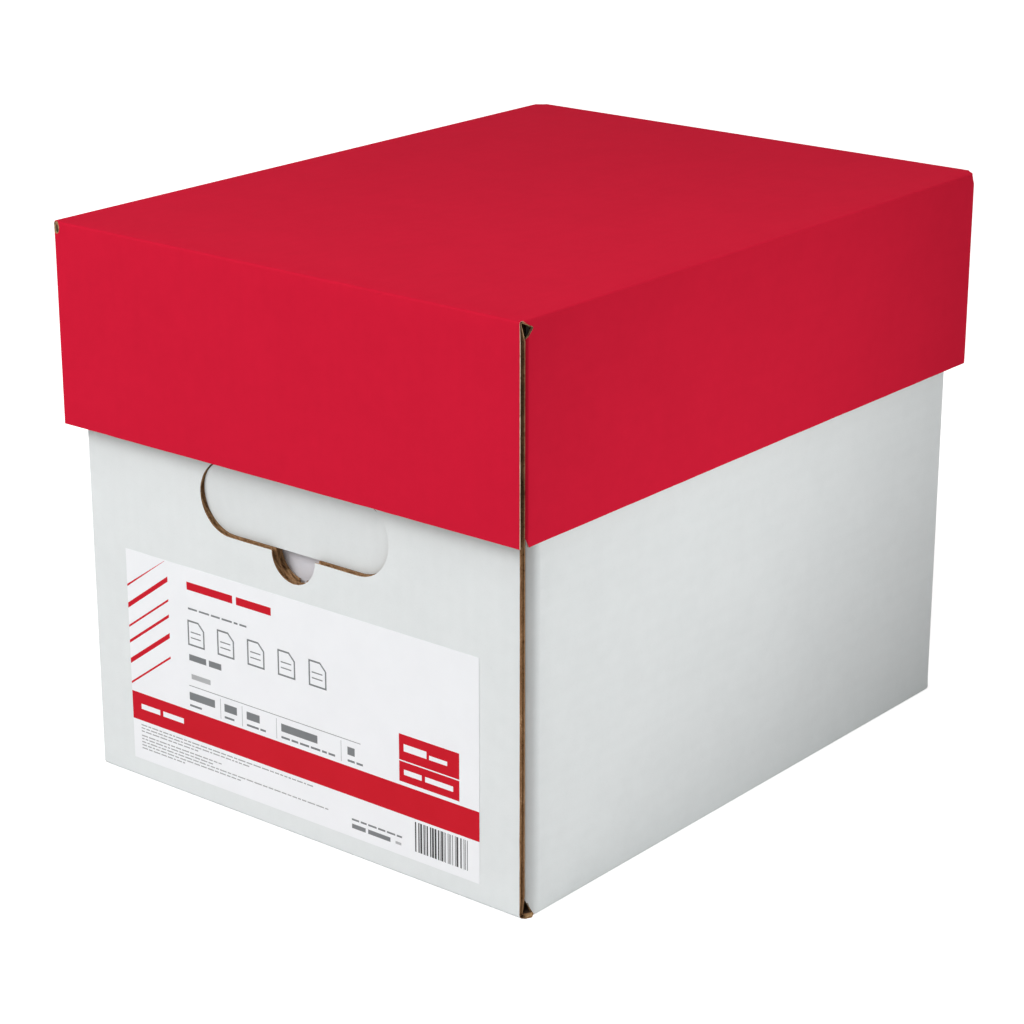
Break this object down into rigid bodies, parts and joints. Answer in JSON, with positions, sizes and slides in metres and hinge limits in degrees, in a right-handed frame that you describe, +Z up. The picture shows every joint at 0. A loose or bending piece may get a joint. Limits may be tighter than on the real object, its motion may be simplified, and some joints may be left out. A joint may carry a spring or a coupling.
{
  "type": "carton of copy paper",
  "caption": "Copy-paper carton: deep white corrugated tray with hand holes and an end label, lift-off red lid, and sealed reams stacked inside.",
  "frame": {"origin": "centre of the underside of the carton, on the ground", "axes": "+Z up; -Y towards the end with the label; X across the ends, Y along the long sides"},
  "size_m": [0.239, 0.3094, 0.2355],
  "materials": {
    "white_board": "matte",
    "red_board": "satin",
    "label_paper": "satin",
    "ream_wrapper": "satin"
  },
  "bodies": {
    "tray": {"tray": "white_board", "front_label": "label_paper", "ream_1": "ream_wrapper", "ream_2": "ream_wrapper", "ream_3": "ream_wrapper", "ream_4": "ream_wrapper", "ream_5": "ream_wrapper"},
    "lid": {"lid": "red_board"},
    "flap_front": {"hand_flap_front": "white_board"},
    "flap_rear": {"hand_flap_rear": "white_board"}
  },
  "joints": [
    {"name": "lid_lift", "type": "slide", "parent": "tray", "child": "lid", "axis": [0, 0, 1], "range_m": [0, 0.1]},
    {"name": "flap_front_push", "type": "hinge", "parent": "tray", "child": "flap_front", "pos_m": [0, -0.1444, 0.151], "axis": [1, 0, 0], "range_deg": [-6, 1.6]},
    {"name": "flap_rear_push", "type": "hinge", "parent": "tray", "child": "flap_rear", "pos_m": [0, 0.1444, 0.151], "axis": [-1, 0, 0], "range_deg": [-6, 1.6]}
  ]
}
